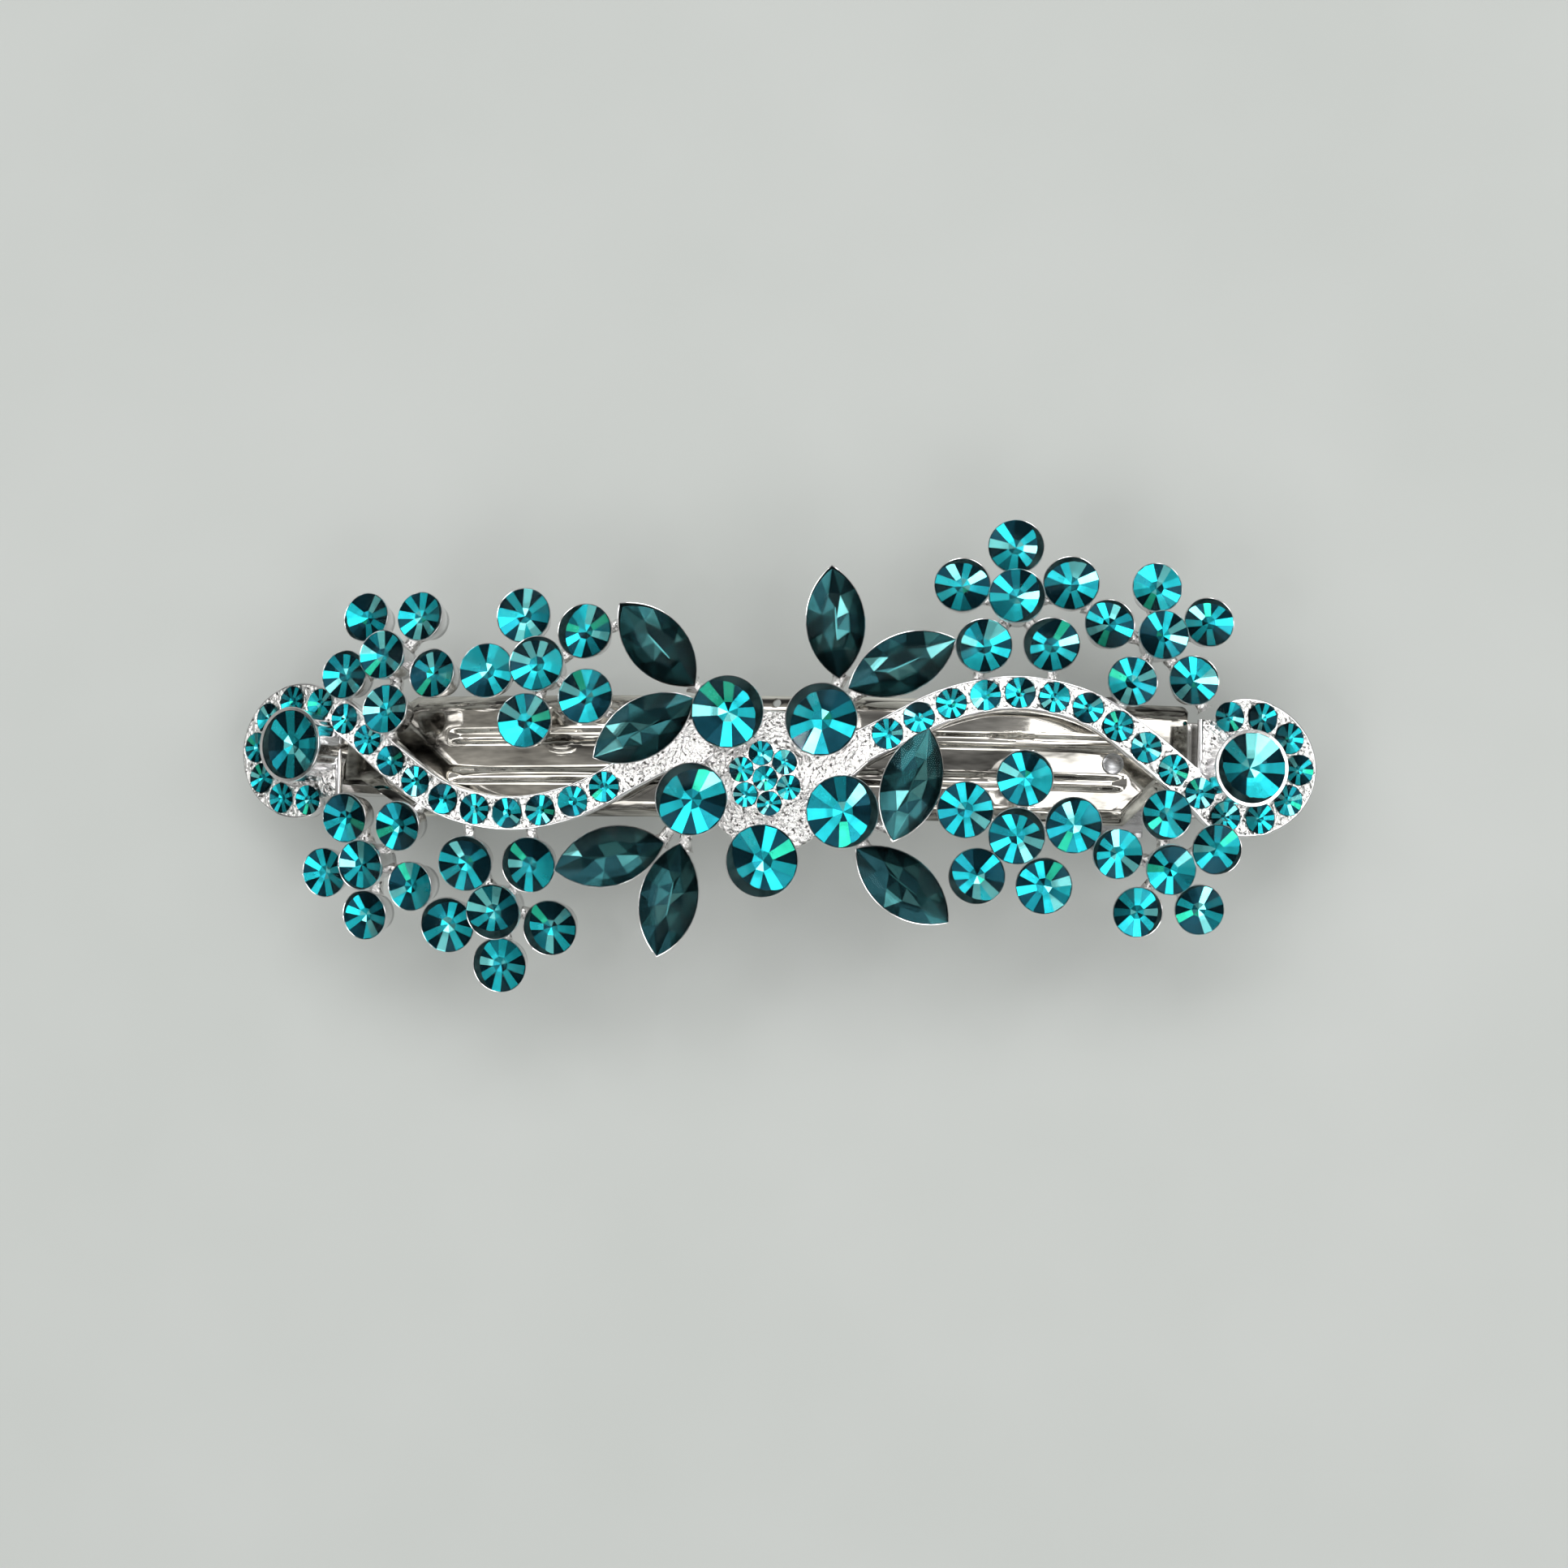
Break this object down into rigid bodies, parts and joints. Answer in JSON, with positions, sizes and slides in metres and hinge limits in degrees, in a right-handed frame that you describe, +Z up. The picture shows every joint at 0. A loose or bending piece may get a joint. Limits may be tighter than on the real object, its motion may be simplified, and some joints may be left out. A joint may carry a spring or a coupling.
{
  "type": "rhinestone hair clip",
  "caption": "Arched metal barrette with a hinged clasp arm and squeeze catch, carrying a cast spray of flowers, leaves and a wavy band set with teal stones.",
  "frame": {"origin": "centre of the outline seen from above, on the surface that the closed clip lies on", "axes": "+X along the clip from the hinge towards the catch, +Y across it, +Z up out of the decorated face"},
  "size_m": [0.0952, 0.0408, 0.0178],
  "materials": {
    "casting": "bright rhodium plate, sandblasted on the web and the plain parts of the band",
    "plate_steel": "mirror polished nickel plate",
    "spring_steel": "bright rolled strip",
    "zircon_glass": "cut crystal with a foiled back",
    "smoky_glass": "cut crystal with a foiled back, greyer"
  },
  "bodies": {
    "clasp": {"clasp_arm": "plate_steel", "hinge_pin": "spring_steel"},
    "bow": {"tension_bow": "spring_steel"},
    "top": {"base_plate": "plate_steel", "catch_bracket": "spring_steel", "catch_rivet": "spring_steel", "casting_middle": "casting", "casting_band_left": "casting", "casting_band_right": "casting", "leaf_setting_left_1": "casting", "leaf_setting_left_2": "casting", "leaf_setting_left_3": "casting", "leaf_setting_left_4": "casting", "leaf_setting_right_1": "casting", "leaf_setting_right_2": "casting", "leaf_setting_right_3": "casting", "leaf_setting_right_4": "casting", "flower_outer_left_back": "casting", "flower_inner_left_back": "casting", "flower_outer_left_front": "casting", "flower_inner_left_front": "casting", "flower_inner_right_back": "casting", "flower_outer_right_back": "casting", "flower_inner_right_front": "casting", "flower_outer_right_front": "casting", "large_stone_1": "zircon_glass", "large_stone_2": "zircon_glass", "large_stone_3": "zircon_glass", "large_stone_4": "zircon_glass", "large_stone_5": "zircon_glass", "cluster_stone_1": "zircon_glass", "cluster_stone_2": "zircon_glass", "cluster_stone_3": "zircon_glass", "cluster_stone_4": "zircon_glass", "cluster_stone_5": "zircon_glass", "cluster_stone_6": "zircon_glass", "cluster_stone_7": "zircon_glass", "end_stone_left": "zircon_glass", "end_stone_right": "zircon_glass", "flower_stone_outer_left_back": "zircon_glass", "flower_stone_inner_left_back": "zircon_glass", "flower_stone_outer_left_front": "zircon_glass", "flower_stone_inner_left_front": "zircon_glass", "flower_stone_inner_right_back": "zircon_glass", "flower_stone_outer_right_back": "zircon_glass", "flower_stone_inner_right_front": "zircon_glass", "flower_stone_outer_right_front": "zircon_glass", "leaf_stone_left_1": "smoky_glass", "leaf_stone_left_2": "smoky_glass", "leaf_stone_left_3": "smoky_glass", "leaf_stone_left_4": "smoky_glass", "leaf_stone_right_1": "smoky_glass", "leaf_stone_right_2": "smoky_glass", "leaf_stone_right_3": "smoky_glass", "leaf_stone_right_4": "smoky_glass"},
    "leg_back": {"catch_leg_back": "spring_steel"},
    "leg_front": {"catch_leg_front": "spring_steel"}
  },
  "joints": [
    {"name": "clasp_hinge", "type": "hinge", "parent": "clasp", "child": "top", "pos_m": [-0.0392, 0, 0.004], "axis": [0, -1, 0], "range_deg": [0, 45]},
    {"name": "bow_lift", "type": "hinge", "parent": "clasp", "child": "bow", "pos_m": [-0.0351, 0, 0.0021], "axis": [0, -1, 0], "range_deg": [0, 9]},
    {"name": "squeeze_back", "type": "hinge", "parent": "top", "child": "leg_back", "pos_m": [0.03, 0.0021, 0.00657], "axis": [-0.9507, 0, 0.31], "range_deg": [0, 5], "stiffness_Nm_per_rad": 0.23},
    {"name": "squeeze_front", "type": "hinge", "parent": "top", "child": "leg_front", "pos_m": [0.03, -0.0021, 0.00657], "axis": [0.9507, 0, -0.31], "range_deg": [0, 5], "stiffness_Nm_per_rad": 0.23}
  ],
  "couplings": [
    {"joint": "bow_lift", "follows": "clasp_hinge", "ratio": 0.2}
  ]
}
